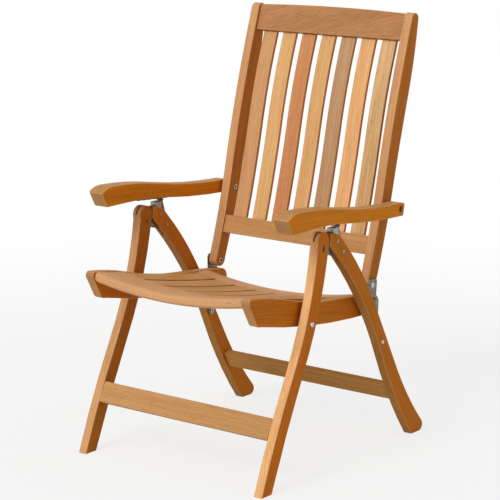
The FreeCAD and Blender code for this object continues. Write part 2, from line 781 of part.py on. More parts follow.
doc.recompute()
for item in doc.Objects:
    if "Invalid" in item.State or "Error" in item.State:
        raise ValueError(f"{item.Name} failed: {item.State}")
for piece in nodes:
    if piece.Shape.isNull() or not piece.Shape.isValid() or not piece.Shape.Solids:
        raise ValueError(f"{piece.Label} has no valid solid")
for piece in nodes:
    piece.Shape.exportStep(os.path.join("parts", piece.Label + ".step"))
print(len(nodes), "nodes written")
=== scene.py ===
import bpy
import bmesh
import json
import math
import numpy
from mathutils import Matrix, Vector

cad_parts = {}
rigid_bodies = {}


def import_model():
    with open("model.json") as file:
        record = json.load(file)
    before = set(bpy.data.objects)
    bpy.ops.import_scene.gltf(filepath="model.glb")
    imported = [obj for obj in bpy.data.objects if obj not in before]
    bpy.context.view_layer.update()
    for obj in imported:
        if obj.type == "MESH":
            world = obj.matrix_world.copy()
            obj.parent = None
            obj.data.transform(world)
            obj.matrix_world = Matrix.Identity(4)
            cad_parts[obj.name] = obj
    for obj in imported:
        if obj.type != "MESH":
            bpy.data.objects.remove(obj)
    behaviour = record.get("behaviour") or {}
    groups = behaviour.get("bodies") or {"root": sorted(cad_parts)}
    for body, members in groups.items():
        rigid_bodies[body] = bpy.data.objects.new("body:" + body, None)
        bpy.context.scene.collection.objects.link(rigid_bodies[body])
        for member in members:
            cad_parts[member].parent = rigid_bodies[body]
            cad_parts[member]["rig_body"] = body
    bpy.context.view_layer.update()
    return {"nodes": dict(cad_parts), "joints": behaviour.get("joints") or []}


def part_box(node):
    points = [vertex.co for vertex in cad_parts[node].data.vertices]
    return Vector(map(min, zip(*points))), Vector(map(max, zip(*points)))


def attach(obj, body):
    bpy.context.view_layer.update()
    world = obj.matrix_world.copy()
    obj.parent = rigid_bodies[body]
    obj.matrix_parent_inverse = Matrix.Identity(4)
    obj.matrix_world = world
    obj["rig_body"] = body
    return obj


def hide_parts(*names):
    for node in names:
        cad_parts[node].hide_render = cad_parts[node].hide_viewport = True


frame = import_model()
print("frame loaded:", len(frame["nodes"]), "nodes")

mm = 0.001
closest = 0.01 * mm  # places nearer than this are one
middleY = -17 * mm  # the side view's zero line, from the middle of the chair's box
pivots = {joint["name"]: Vector(joint["pos_m"]) for joint in frame["joints"]}

# places across the width, from the frame
legInner, legOuter = (corner.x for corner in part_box("front_leg_left"))
legMiddle = (legInner + legOuter) / 2
stileInner, stileOuter = (corner.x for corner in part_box("back_stile_left"))
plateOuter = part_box("hinge_plate_left")[1].x
linkInner, linkOuter = (corner.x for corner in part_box("folding_link_left"))
armInner, armOuter = (corner.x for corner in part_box("armrest_left"))
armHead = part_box("arm_pivot_bolts")[1].x

# flats around what is turned or drilled, and around a nut
roundSides = 32
hexSides = 6


def sidePoint(y, z):
    return Vector((0, y * mm + middleY, z * mm))


def handSide(name):
    return -1 if name.endswith("right") else 1


# Colours and nodes

def linear(hexColour):
    channels = [int(hexColour[i:i + 2], 16) / 255 for i in (1, 3, 5)]
    curved = [c / 12.92 if c <= 0.04045 else ((c + 0.055) / 1.055) ** 2.4 for c in channels]
    return (*curved, 1.0)


def addNode(tree, kind, settings=None, inputs=None, output=None):
    # gives the node, or its output where one is named
    node = tree.nodes.new(kind)
    for key, value in (settings or {}).items():
        setattr(node, key, value)
    for key, value in (inputs or {}).items():
        if isinstance(value, bpy.types.NodeSocket):
            tree.links.new(value, node.inputs[key])
        else:
            node.inputs[key].default_value = value
    return node if output is None else node.outputs[output]


# settings that several nodes share
colourMix = {"data_type": "RGBA"}
softStep = {"interpolation_type": "SMOOTHSTEP"}
multiply = {"operation": "MULTIPLY"}
multiplyAdd = {"operation": "MULTIPLY_ADD"}
subtract = {"operation": "SUBTRACT"}
larger = {"operation": "MAXIMUM"}


def newMaterial(name):
    material = bpy.data.materials.new(name)
    material.use_nodes = True
    material.node_tree.nodes.clear()
    return material, material.node_tree


# Teak, planed and oiled: honey to rosy boards, each a little different, with a fine straight grain
teakLook = {
    # width, length and detail of the marks in the wood
    "streaks": (2.6 * mm, 90 * mm, 4.0),
    "bands": (26 * mm, 450 * mm, 2.0),
    "pores": (0.9 * mm, 11 * mm, 1.0),  # real ones are 0.3 mm wide, drawn wider so that they show
    "drift": (52 * mm, 300 * mm, 2.0),
    "markRoughness": 0.6,
    "ringWidth": 5.5 * mm,
    "waviness": 14 * mm,  # how far the rings wander
    "apart": (3.7, 0.23, 0.31),  # metres of trunk that the boards are taken from
    "tilt": (0, 1.6, 1.1),  # degrees between a board and the trunk
    "flameTilt": (0, -7, -17),  # a board sawn across the trunk's sweep
    # how much each mark darkens the wood
    "ringShare": 0.34,
    "streakShare": 0.46,
    "bandShare": 0.35,
    # between these two values a pattern goes from none to all
    "streakRange": (0.3, 0.7),
    "bandRange": (0.3, 0.7),
    "grainRange": (0.15, 1.0),
    "poreRange": (0.62, 0.75),
    # where the painted shade of the sides begins and where it is full
    "sideRange": (0.35, 0.85),
    "endRange": (0.6, 0.95),
    "roughRange": (0.2, 0.8),
    # pores are dark, end grain is greyer and drinks the light, and sanded arrises are paler
    "poreShare": 0.42,
    "poreColour": "#6B3A16",
    "endShare": 0.5,
    "endColour": "#9A7250",
    "arrisShare": 0.22,
    "arrisColour": "#E2B98C",
    "smoothest": 0.48,
    "roughest": 0.64,
    "relief": 0.25 * mm,
    "reliefStrength": 0.35,
    "streakRelief": 0.6,
    "ior": 1.5,
    "gloss": 0.1,  # the oil has sunk in and leaves little shine
}

# a board's faces and the veins in them, then its sides, which face across the chair, and their veins:
# the sides are painted darker and more orange, as painted shade and painted warm bounce light
teakTones = {
    "golden": ("#F3BC82", "#DBA169", "#D17110", "#B96710"),
    "tan": ("#D7A370", "#C08B5A", "#B96B15", "#A4600F"),
    "honey": ("#E7B57B", "#D39F63", "#D47D28", "#BB7127"),
    "straw": ("#CD9955", "#B98344", "#D17B28", "#B97027"),
    "rose": ("#D9A371", "#C79161", "#C5701E", "#AD641B"),
    "ochre": ("#CE9961", "#BA8955", "#CB792A", "#B36E28"),
    "orange": ("#DA9766", "#C68556", "#CD7110", "#B46710"),
    "russet": ("#CF9C64", "#BA8750", "#CD7110", "#B46710"),
    "flame": ("#C38B5B", "#AB784C", "#C4782A", "#AC6C28"),
    "brown": ("#CB9F76", "#B58A61", "#C1772A", "#AA6C28"),
    "umber": ("#CC944B", "#B38041", "#B9742A", "#A26A28"),
    "pale": ("#E7BE8C", "#C79A65", "#CE832B", "#B67529"),
    "amber": ("#B27B3B", "#9E6B32", "#CC7310", "#B56A10"),
    "arm": ("#D09C62", "#B27F48", "#E08410", "#C87610"),
}


def teak(tone):
    # side and its veins are the painted shade of the faces that turn across the chair
    face, vein, side, paintedShadeSideVein = (linear(colour) for colour in teakTones[tone])
    look = teakLook
    material, tree = newMaterial("oiledTeak" + tone.capitalize())
    place = addNode(tree, "ShaderNodeAttribute", {"attribute_name": "grainPlace"}, output="Vector")
    chance = addNode(tree, "ShaderNodeObjectInfo", output="Random")
    # every board comes from another part of the trunk
    moved = addNode(tree, "ShaderNodeVectorMath", multiplyAdd, {
        0: chance, 1: look["apart"], 2: place,
    }, 0)
    tilt = look["flameTilt"] if tone == "flame" else look["tilt"]
    tilted = addNode(tree, "ShaderNodeMapping", None, {
        "Vector": moved, "Rotation": [math.radians(angle) for angle in tilt],
    }, 0)

    def marks(width, length, detail, output="Fac"):
        # each cell of the noise holds a dark mark and a pale one
        stretched = addNode(tree, "ShaderNodeMapping", None, {
            "Vector": tilted, "Scale": (0.5 / length, 0.5 / width, 0.5 / width),
        }, 0)
        return addNode(tree, "ShaderNodeTexNoise", None, {
            "Vector": stretched, "Scale": 1.0, "Detail": detail, "Roughness": look["markRoughness"],
        }, output)

    # growth rings, cut nearly along the trunk
    warped = addNode(tree, "ShaderNodeVectorMath", multiplyAdd, {
        0: marks(*look["drift"], "Color"), 1: (0, look["waviness"], look["waviness"]), 2: tilted,
    }, 0)
    ringScale = math.pi / 10 / look["ringWidth"]  # the wave texture's own unit is a tenth of pi
    rings = addNode(tree, "ShaderNodeTexWave", {
        "wave_type": "RINGS", "rings_direction": "X", "wave_profile": "SAW",
    }, {"Vector": warped, "Scale": ringScale, "Distortion": 0.0}, "Fac")

    # where there are streaks, bands and pores, which faces are a board's sides, that get the painted
    # shade, and which are its ends and arrises
    fine = marks(*look["streaks"])
    patterns = {"streak": fine, "band": marks(*look["bands"]), "pore": marks(*look["pores"])}
    patterns["side"] = addNode(tree, "ShaderNodeAttribute", {"attribute_name": "across"}, output="Fac")
    patterns["end"] = addNode(tree, "ShaderNodeAttribute", {"attribute_name": "endGrain"}, output="Fac")
    masks = {}
    for name, pattern in patterns.items():
        low, high = look[name + "Range"]
        masks[name] = addNode(tree, "ShaderNodeMapRange", softStep, {0: pattern, 1: low, 2: high}, 0)
    masks["arris"] = addNode(tree, "ShaderNodeAttribute", {"attribute_name": "arris"}, output="Fac")

    grain = addNode(tree, "ShaderNodeMath", multiply, {0: rings, 1: look["ringShare"]}, 0)
    for name in ("streak", "band"):
        grain = addNode(tree, "ShaderNodeMath", multiplyAdd, {
            0: masks[name], 1: look[name + "Share"], 2: grain,
        }, 0)
    low, high = look["grainRange"]
    veined = addNode(tree, "ShaderNodeMapRange", softStep, {0: grain, 1: low, 2: high}, 0)
    faceColour = addNode(tree, "ShaderNodeMix", colourMix, {0: veined, 6: face, 7: vein}, 2)
    paintedShadeSideColour = addNode(tree, "ShaderNodeMix", colourMix, {0: veined, 6: side, 7: paintedShadeSideVein}, 2)
    # faces turned across the chair take the darker, more orange colours: painted shade and painted warm
    # bounce light
    colour = addNode(tree, "ShaderNodeMix", colourMix, {
        0: masks["side"], 6: faceColour, 7: paintedShadeSideColour,
    }, 2)
    for name in ("pore", "end", "arris"):
        amount = addNode(tree, "ShaderNodeMath", multiply, {
            0: masks[name], 1: look[name + "Share"],
        }, 0)
        colour = addNode(tree, "ShaderNodeMix", colourMix, {
            0: amount, 6: colour, 7: linear(look[name + "Colour"]),
        }, 2)

    low, high = look["roughRange"]
    rough = addNode(tree, "ShaderNodeMapRange", softStep, {
        0: fine, 1: low, 2: high, 3: look["smoothest"], 4: look["roughest"],
    }, 0)
    ridges = addNode(tree, "ShaderNodeMath", multiply, {0: fine, 1: look["streakRelief"]}, 0)
    height = addNode(tree, "ShaderNodeMath", subtract, {0: ridges, 1: masks["pore"]}, 0)
    bump = addNode(tree, "ShaderNodeBump", None, {
        "Strength": look["reliefStrength"], "Distance": look["relief"], "Height": height,
    }, 0)
    surface = addNode(tree, "ShaderNodeBsdfPrincipled", None, {
        "Base Color": colour, "Roughness": rough, "IOR": look["ior"],
        "Specular IOR Level": look["gloss"], "Normal": bump,
    }, 0)
    addNode(tree, "ShaderNodeOutputMaterial", None, {"Surface": surface})
    return material


teakOf = {tone: teak(tone) for tone in teakTones}


# Steel, with fine upright scratches and a tarnish in soft spots
steelLook = {
    "scratchWidth": 0.8 * mm,  # real ones are finer, drawn wider so that they show
    "scratchLength": 14 * mm,
    "scratchDepth": 0.1 * mm,
    "scratchDetail": 2.0,
    "spotDetail": 4.0,
    "spotRoughness": 0.65,
    "tarnishRange": (0.38, 0.66),
    "roughRange": (0.3, 0.7),
    "smoother": 0.08,
    "rougher": 0.1,
}


def steel(name, bright, tarnished, roughness, spotSize, brushed):
    look = steelLook
    material, tree = newMaterial(name)
    place = addNode(tree, "ShaderNodeTexCoord", output="Object")
    spots = addNode(tree, "ShaderNodeTexNoise", None, {
        "Vector": place, "Scale": 1 / spotSize,
        "Detail": look["spotDetail"], "Roughness": look["spotRoughness"],
    }, "Fac")
    low, high = look["tarnishRange"]
    tarnish = addNode(tree, "ShaderNodeMapRange", softStep, {0: spots, 1: low, 2: high}, 0)
    colour = addNode(tree, "ShaderNodeMix", colourMix, {
        0: tarnish, 6: linear(bright), 7: linear(tarnished),
    }, 2)
    low, high = look["roughRange"]
    rough = addNode(tree, "ShaderNodeMapRange", softStep, {
        0: spots, 1: low, 2: high, 3: roughness - look["smoother"], 4: roughness + look["rougher"],
    }, 0)
    narrow, long = 1 / look["scratchWidth"], 1 / look["scratchLength"]
    lines = addNode(tree, "ShaderNodeMapping", None, {
        "Vector": place, "Scale": (narrow, narrow, long),
    }, 0)
    scratches = addNode(tree, "ShaderNodeTexNoise", None, {
        "Vector": lines, "Scale": 1.0, "Detail": look["scratchDetail"],
    }, "Fac")
    bump = addNode(tree, "ShaderNodeBump", None, {
        "Strength": brushed, "Distance": look["scratchDepth"], "Height": scratches,
    }, 0)
    surface = addNode(tree, "ShaderNodeBsdfPrincipled", None, {
        "Base Color": colour, "Metallic": 1.0, "Roughness": rough, "Normal": bump,
    }, 0)
    addNode(tree, "ShaderNodeOutputMaterial", None, {"Surface": surface})
    return material


# zinc-plated strip gone dull: mid grey, with darker blotches
zincPlate = steel(
    "dullZincPlatedStrip", "#85837A", "#625F56", roughness=0.42, spotSize=6 * mm, brushed=0.3,
)
# the same strip where it is folded into a saddle: paler than the flat strip
foldedSteel = steel(
    "foldedPlatedSteel", "#AEAAA0", "#8B877B", roughness=0.38, spotSize=4 * mm, brushed=0.2,
)
# turned nuts, shanks and heads: pale, with small sharp highlights
brightSteel = steel(
    "turnedBrightSteel", "#D2D0CA", "#B4B1A8", roughness=0.26, spotSize=3 * mm, brushed=0.12,
)
# domed heads: warm grey, a painted reflection of the teak around them, with a soft highlight
steelPaintedWoodReflection = steel(
    "dulledSteelHead", "#A5967E", "#84755E", roughness=0.34, spotSize=3 * mm, brushed=0.12,
)
# sunk heads browned by oil and weather: little lighter than the holes they sit in
brownedSteel = steel(
    "brownedSteelHead", "#8A5A3A", "#4E3020", roughness=0.5, spotSize=2.5 * mm, brushed=0.2,
)
print("materials ready")


# Shapes

def newPiece(name, mesh, material=None):
    data = bpy.data.meshes.new(name)
    mesh.to_mesh(data)
    mesh.free()
    if material:
        data.materials.append(material)
    piece = bpy.data.objects.new(name, data)
    bpy.context.scene.collection.objects.link(piece)
    return piece


def sharpenAbove(mesh, degrees):
    # edges that turn by more than this look sharp, and the others soft
    for edge in mesh.edges:
        edge.smooth = len(edge.link_faces) == 2 and edge.calc_face_angle(0) < math.radians(degrees)


def arcPoints(start, middle, end, step):
    # the circle through three places, from the first to the last
    (ay, az), (by, bz), (cy, cz) = start, middle, end
    turned = 2 * (ay * (bz - cz) + by * (cz - az) + cy * (az - bz))
    a, b, c = ay * ay + az * az, by * by + bz * bz, cy * cy + cz * cz
    y = (a * (bz - cz) + b * (cz - az) + c * (az - bz)) / turned
    z = (a * (cy - by) + b * (ay - cy) + c * (by - ay)) / turned
    radius = math.hypot(ay - y, az - z)
    first, last = math.atan2(az - z, ay - y), math.atan2(cz - z, cy - y)
    sweep = (last - first) % math.tau if turned > 0 else -((first - last) % math.tau)
    count = math.ceil(abs(sweep) / math.radians(step))
    angles = [first + sweep * i / count for i in range(1, count + 1)]
    return [(y + radius * math.cos(angle), z + radius * math.sin(angle)) for angle in angles]


def sideOutline(shape, step):
    # a place alone ends a straight run, and two are an arc's middle and end
    places = [shape["start"]]
    for run in shape["side"]:
        places += run if len(run) == 1 else arcPoints(places[-1], *run, step)
    if math.dist(places[0], places[-1]) * mm < closest:
        places.pop()
    return places


def prism(places, low, high, side, taper=0.0):
    # places in the side view, from one plane across the chair to another that may lean with y
    mesh = bmesh.new()
    corners = [sidePoint(*place) for place in places]
    inner, outer = [], []
    for corner in corners:
        inner.append(mesh.verts.new((side * low, corner.y, corner.z)))
    for corner in corners:
        lean = taper * (corner.y - corners[0].y)
        outer.append(mesh.verts.new((side * (high - lean), corner.y, corner.z)))
    mesh.faces.new(inner)
    mesh.faces.new(outer)
    for i in range(len(corners)):
        mesh.faces.new((inner[i - 1], inner[i], outer[i], outer[i - 1]))
    bmesh.ops.recalc_face_normals(mesh, faces=mesh.faces)
    return mesh


def roundPlaces(centre, radius):
    # a hole's outline, in the side view's millimetres
    y, z = (centre.y - middleY) / mm, centre.z / mm
    angles = [math.tau * i / roundSides for i in range(roundSides)]
    return [(y + radius * math.cos(angle), z + radius * math.sin(angle)) for angle in angles]


def cutOut(mesh, cutters):
    # saws and drills the cutters' shapes out of a piece
    work = newPiece("blank", mesh)
    tools = [newPiece("cutter", cutter) for cutter in cutters]
    for tool in tools:
        cut = work.modifiers.new("cut", "BOOLEAN")
        cut.object = tool
        cut.solver = "EXACT"
        cut.use_self = True  # the arrises may touch each other at sharp corners
    result = bmesh.new()
    result.from_object(work, bpy.context.evaluated_depsgraph_get())
    bmesh.ops.remove_doubles(result, verts=result.verts, dist=closest)
    for piece in [work] + tools:
        data = piece.data
        bpy.data.objects.remove(piece)
        bpy.data.meshes.remove(data)
    return result


# Wooden pieces: each solid again, with its arrises rounded by sanding
woodShape = {
    "arris": 1.9 * mm,
    "arrisSteps": 3,
    "arrisAngle": 38,  # degrees; edges that turn by more are arrises
    "flatAngle": 0.1,  # and by less than this, within one flat face
    "arcStep": 3,  # degrees of a sawn curve to each facet
    "shortEdge": 2.2 * mm,  # edges of bolt holes are shorter, and stay as drilled
    # radii in the side view's millimetres
    "boltHole": 5.05,
    "linkHole": 4.05,
    "sunkHole": 9.0,
    "sunkDepth": 6 * mm,
    "through": 1 * mm,  # a drill goes past the wood by this
    "slatLift": 5 * mm,  # the photographed seat slats are flatter than their solids
    "slatBack": (5.7 * mm, -1.8 * mm),  # and the back slats sit deeper between the rails
}

# outlines in the side view, in millimetres from its zero line and from the floor
frontLeg = {
    "start": (-332.6, 0),
    "side": [
        [(-274.2, 139.7), (-207.1, 275.7)], [(-147.5, 415), (-112.5, 570)],
        [(-93, 601.5), (-67.3, 580)], [(-67, 566)],
        [(-103.4, 417.8), (-163.2, 277)], [(-230.9, 139.9), (-292.5, 0)],
    ],
    "slot": [(-116, 585), (-56, 470), (-40, 640), (-116, 640)],
    "slotWide": 4.6 * mm,
}
rearLeg = {
    "start": (315.5, 0),
    "side": [
        [(352, 0)], [(366.5, 11), (363, 27)], [(300, 104), (246.3, 186)],
        [(198, 270), (148.9, 359.8)], [(72.4, 478.8), (-6.9, 569.4)],
        [(-24.5, 584), (-46, 592.6)], [(-58, 594)],
        [(-63.8, 566)], [(72.2, 412.5), (174.3, 234.3)], [(238.2, 113), (315.5, 0)],
    ],
    "slot": [(-20, 500), (40, 550), (-10, 620), (-90, 620), (-90, 540)],
    "slotWide": 4.6 * mm,
}
seatRail = {
    "start": (-324, 475.2),
    "side": [
        [(-257.7, 465.7), (-180.8, 447.2)], [(-91.2, 425.4), (0.3, 413.3)],
        [(92.3, 405.5), (184, 395)], [(199, 371), (184, 347)], [(-53.5, 361.8), (-290, 402.5)],
        [(-301.5, 405.5), (-309, 415)], [(-334.3, 460)], [(-333.5, 471), (-324, 475.2)],
    ],
}
armrest = {
    "start": (-260, 656),
    "side": [
        [(-240.2, 666.4), (-218, 670)], [(-127, 665), (-32.7, 651.4)],
        [(102.2, 633.2), (238, 626)], [(253, 622)], [(246, 591)], [(123, 597), (0, 610)],
        [(-82, 618.4), (-165, 620.3)], [(-240, 619.5)],
    ],
    "taper": 0.0239,  # narrower towards the rear
    "arris": 2.6 * mm,
    # the nose's outer corner, in the side view's millimetres
    "noseRound": 8.0,
    "noseSteps": 6,
    "noseMargin": 5.0,
    "nosePast": 20.0,  # its cutter goes past the wood by this, below and above
    "groove": [(-3.2, 620.8), (-118.1, 629), (-119.7, 600), (-4.8, 592)],
    "grooveWide": 20.6 * mm,
    "sleeveHole": 7.05,
    "headRoom": 3.6 * mm,
}

# each board's tone, by its node's name with or without the side
woodTones = {
    "front_leg": "golden", "front_leg_right": "tan", "rear_leg": "amber",
    "front_stretcher": "ochre", "rear_stretcher": "umber",
    "seat_rail": "russet", "seat_front_rail": "rose", "seat_rear_rail": "rose",
    "armrest": "arm", "back_stile": "rose", "back_top_rail": "flame", "back_bottom_rail": "ochre",
}
slatTones = {
    "back_slat": ["rose", "honey", "orange", "honey", "brown", "golden", "pale"],
    "seat_slat": ["straw", "ochre", "straw", "straw", "ochre", "straw", "ochre"],
}


def solidMesh(node):
    mesh = bmesh.new()
    mesh.from_mesh(frame["nodes"][node].data)
    bmesh.ops.remove_doubles(mesh, verts=mesh.verts, dist=closest)
    flat = math.radians(woodShape["flatAngle"])
    bmesh.ops.dissolve_limit(mesh, angle_limit=flat, verts=mesh.verts, edges=mesh.edges)
    if node.startswith("seat_slat"):
        low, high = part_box(node)
        middle, half = (low.y + high.y) / 2, (high.y - low.y) / 2
        for vert in mesh.verts:
            vert.co.z += woodShape["slatLift"] * (1 - ((vert.co.y - middle) / half) ** 2)
    if node.startswith("back_slat"):
        bmesh.ops.translate(mesh, vec=(0, *woodShape["slatBack"]), verts=mesh.verts)
    return mesh


def roundArrises(mesh, width, shortest=0.0):
    turned = math.radians(woodShape["arrisAngle"])
    arrises = [
        edge for edge in mesh.edges
        if edge.calc_face_angle(0) > turned and edge.calc_length() > shortest
    ]
    arris = mesh.faces.layers.float.new("arris")
    made = bmesh.ops.bevel(
        mesh, geom=arrises, offset=width, segments=woodShape["arrisSteps"],
        profile=0.5, affect="EDGES", clamp_overlap=False,
    )
    for face in made["faces"]:
        face[arris] = 1.0
    bmesh.ops.recalc_face_normals(mesh, faces=mesh.faces)


def sawnBlank(shape, low, high, side):
    places = sideOutline(shape, woodShape["arcStep"])
    return prism(places, low, high, side, shape.get("taper", 0.0))


def legMesh(shape, side, holes):
    # a hole is its centre, radius and inner end, and is open at the leg's outer face
    mesh = sawnBlank(shape, legInner, legOuter, side)
    roundArrises(mesh, woodShape["arris"])
    half = shape["slotWide"] / 2
    cutters = [prism(shape["slot"], legMiddle - half, legMiddle + half, side)]
    for centre, radius, low in holes:
        cutters.append(prism(roundPlaces(centre, radius), low, legOuter + woodShape["through"], side))
    return cutOut(mesh, cutters)


def railMesh(side):
    mesh = sawnBlank(seatRail, stileInner, stileOuter, side)
    roundArrises(mesh, woodShape["arris"])
    hole = roundPlaces(pivots["seat_fold"], woodShape["boltHole"])
    past = woodShape["through"]
    return cutOut(mesh, [prism(hole, stileInner - past, stileOuter + past, side)])


def noseCutter(side):
    # a cove that rounds the nose's outer upright corner
    shape = armrest
    low, high = Vector(shape["side"][-1][0]), Vector(shape["start"])
    upward = (high - low).normalized()
    forward = Vector((-upward.y, upward.x))
    radius, steps, margin = shape["noseRound"], shape["noseSteps"], shape["noseMargin"]
    angles = [math.pi / 2 * i / steps for i in range(steps + 1)]
    cove = [(radius * (math.cos(a) - 1), radius * (math.sin(a) - 1)) for a in angles]
    cove += [(-radius, margin), (margin, margin), (margin, -radius)]
    mesh = bmesh.new()
    ends = []
    for reach in (-shape["nosePast"], (high - low).length + shape["nosePast"]):
        ends.append([])
        for out, ahead in cove:
            place = low + upward * reach + forward * ahead
            corner = sidePoint(place.x, place.y)
            ends[-1].append(mesh.verts.new((side * (armOuter + out * mm), corner.y, corner.z)))
        mesh.faces.new(ends[-1])
    for i in range(len(cove)):
        mesh.faces.new((ends[0][i - 1], ends[0][i], ends[1][i], ends[1][i - 1]))
    bmesh.ops.recalc_face_normals(mesh, faces=mesh.faces)
    return mesh


def armMesh(side):
    shape = armrest
    mesh = cutOut(sawnBlank(shape, armInner, armOuter, side), [noseCutter(side)])
    roundArrises(mesh, shape["arris"])
    half = shape["grooveWide"] / 2
    past = woodShape["through"]
    sleeve = roundPlaces(pivots["arm_recline"], shape["sleeveHole"])
    sunk = roundPlaces(pivots["arm_recline"], woodShape["sunkHole"])
    return cutOut(mesh, [
        prism(shape["groove"], legMiddle - half, legMiddle + half, side),
        prism(sleeve, armInner - past, armOuter, side),
        prism(sunk, armHead - shape["headRoom"], armOuter + past, side),
    ])


def woodMesh(node, plain):
    side = handSide(node)
    inside, sunkEnd = legInner - woodShape["through"], legOuter - woodShape["sunkDepth"]
    if plain == "front_leg":
        return legMesh(frontLeg, side, [
            (pivots["leg_fold"], woodShape["boltHole"], inside),
            (pivots["leg_fold"], woodShape["sunkHole"], sunkEnd),
            (pivots["seat_fold"], woodShape["boltHole"], inside),
        ])
    if plain == "rear_leg":
        return legMesh(rearLeg, side, [(pivots["link_fold"], woodShape["linkHole"], inside)])
    if plain == "seat_rail":
        return railMesh(side)
    if plain == "armrest":
        return armMesh(side)
    mesh = solidMesh(node)
    roundArrises(mesh, woodShape["arris"], woodShape["shortEdge"])
    return mesh


def grainFrame(mesh):
    # the long way of the piece is the grain's way, and the next is its width
    centres = numpy.array([face.calc_center_median() for face in mesh.faces])
    areas = numpy.array([face.calc_area() for face in mesh.faces])
    middle = (centres * areas[:, None]).sum(0) / areas.sum()
    spread = (centres - middle).T @ ((centres - middle) * areas[:, None])
    axes = numpy.linalg.eigh(spread)[1]
    along, wide = (Vector(axes[:, i]) for i in (2, 1))
    along, wide = (v if max(v, key=abs) > 0 else -v for v in (along, wide))
    turn = Matrix((along, wide, along.cross(wide))).transposed()
    return Matrix.Translation(Vector(middle)) @ turn.to_4x4()


def markGrain(mesh):
    # what the teak reads: the place in the board, which faces are its sides, for their painted shade,
    # and which are its ends
    grain = grainFrame(mesh)
    length = grain.to_3x3().col[0]
    across = mesh.faces.layers.float.new("across")
    endGrain = mesh.faces.layers.float.new("endGrain")
    grainPlace = mesh.verts.layers.float_vector.new("grainPlace")
    for face in mesh.faces:
        # faces turned across the chair get the painted shade of the sides
        face[across] = abs(face.normal.x)
        face[endGrain] = abs(face.normal.dot(length))
        face.smooth = True
    for vert in mesh.verts:
        vert[grainPlace] = grain.inverted() @ vert.co


def woodPiece(node, plain, tone):
    mesh = woodMesh(node, plain)
    markGrain(mesh)
    sharpenAbove(mesh, woodShape["arrisAngle"])
    piece = newPiece("teak_" + node, mesh, teakOf[tone])
    shading = piece.modifiers.new("evenShading", "WEIGHTED_NORMAL")
    shading.keep_sharp = True
    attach(piece, frame["nodes"][node]["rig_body"])
    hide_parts(node)


for node in sorted(frame["nodes"]):
    plain = node.replace("_left", "").replace("_right", "")
    if plain in woodTones:
        woodPiece(node, plain, woodTones.get(node, woodTones[plain]))
    elif node[:-2] in slatTones:
        woodPiece(node, node[:-2], slatTones[node[:-2]][int(node[-1]) - 1])
print("wood done")


# Turned and hexagonal hardware, alike on both sides of the chair

# shares of a head's height and radius
headShape = {
    "foot": (0, 0.94),
    "rim": (0.15, 1),
    "domeFrom": 0.3,
    "domeSteps": 4,
    "domeStep": 18,  # degrees
    "socket": [(0.97, 0.24), (0.6, 0.22), (0.6, 0)],
}
# and of a nut's or a spacer's
nutShape = [(0, 0), (0, 0.9), (0.15, 1), (0.8, 1), (1, 0.88), (1, 0)]
shankShape = {"tip": 0.85, "chamfer": 0.8 * mm}
hardwareAngle = 40  # degrees; edges that turn by more are sharp
clear = 0.3 * mm  # between a head or a nut and what it lies on


def domed(start, radius, height):
    # a domed head with a small round socket
    shape = headShape
    steps = [shape["foot"], shape["rim"]]
    for step in range(1, shape["domeSteps"] + 1):
        angle = math.radians(shape["domeStep"] * step)
        rise = shape["domeFrom"] + (1 - shape["domeFrom"]) * math.sin(angle)
        steps.append((rise, math.cos(angle)))
    return [(start + place * height, share * radius) for place, share in steps + shape["socket"]]


def nut(start, radius, height):
    return [(start + place * height, share * radius) for place, share in nutShape]


def shank(start, end, radius):
    tip, chamfer = radius * shankShape["tip"], shankShape["chamfer"]
    return [(start, 0), (start, tip), (start + chamfer, radius), (end, radius), (end, 0)]


def hardware(name, body, centre, runs, material, replaced=()):
    # each run is a profile, as a list of (place across, radius), and its number of flats
    mesh = bmesh.new()
    for sign in (1, -1):
        for profile, count in runs:
            rings = []
            for place, radius in profile:
                turns = range(count) if radius else (0,)
                angles = [math.tau * turn / count for turn in turns]
                rings.append([
                    mesh.verts.new((
                        sign * place,
                        centre.y + radius * math.cos(angle),
                        centre.z + radius * math.sin(angle),
                    ))
                    for angle in angles
                ])
            for lower, upper in zip(rings, rings[1:]):
                for turn in range(count):
                    corners = [
                        lower[turn % len(lower)], lower[(turn + 1) % len(lower)],
                        upper[(turn + 1) % len(upper)], upper[turn % len(upper)],
                    ]
                    corners = list(dict.fromkeys(corners))
                    if len(corners) > 2:
                        face = mesh.faces.new(corners)
                        face.smooth = count > hexSides
    bmesh.ops.recalc_face_normals(mesh, faces=mesh.faces)
    sharpenAbove(mesh, hardwareAngle)
    piece = newPiece(name, mesh, material)
    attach(piece, body)
    if replaced:
        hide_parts(*replaced)


smallNut = {"radius": 6.5 * mm, "height": 2 * mm}
stileNut = stileInner - clear - smallNut["height"]
linkNut = linkInner - clear - smallNut["height"]

legBolt = {"radius": 5 * mm, "head": 7.5 * mm, "headHeight": 3.6 * mm}
sunkFloor = legOuter - woodShape["sunkDepth"]
hardware("leg_pivot_heads", "front_frame", pivots["leg_fold"], [
    (shank(legInner, sunkFloor, legBolt["radius"]), roundSides),
    (domed(sunkFloor, legBolt["head"], legBolt["headHeight"]), roundSides),
], brownedSteel, ["leg_pivot_bolts"])

seatBolt = {
    "radius": 5 * mm,
    "head": 6.56 * mm,
    "headHeight": 3.6 * mm,
    "spacer": 10 * mm,
    "short": 3 * mm,  # of the rail's inner face
}
hardware("seat_pivot_heads", "front_frame", pivots["seat_fold"], [
    (shank(stileInner + seatBolt["short"], legOuter, seatBolt["radius"]), roundSides),
    (nut(stileOuter + clear, seatBolt["spacer"], legInner - stileOuter - 2 * clear), roundSides),
    (domed(legOuter, seatBolt["head"], seatBolt["headHeight"]), roundSides),
], brightSteel, ["seat_pivot_bolts"])

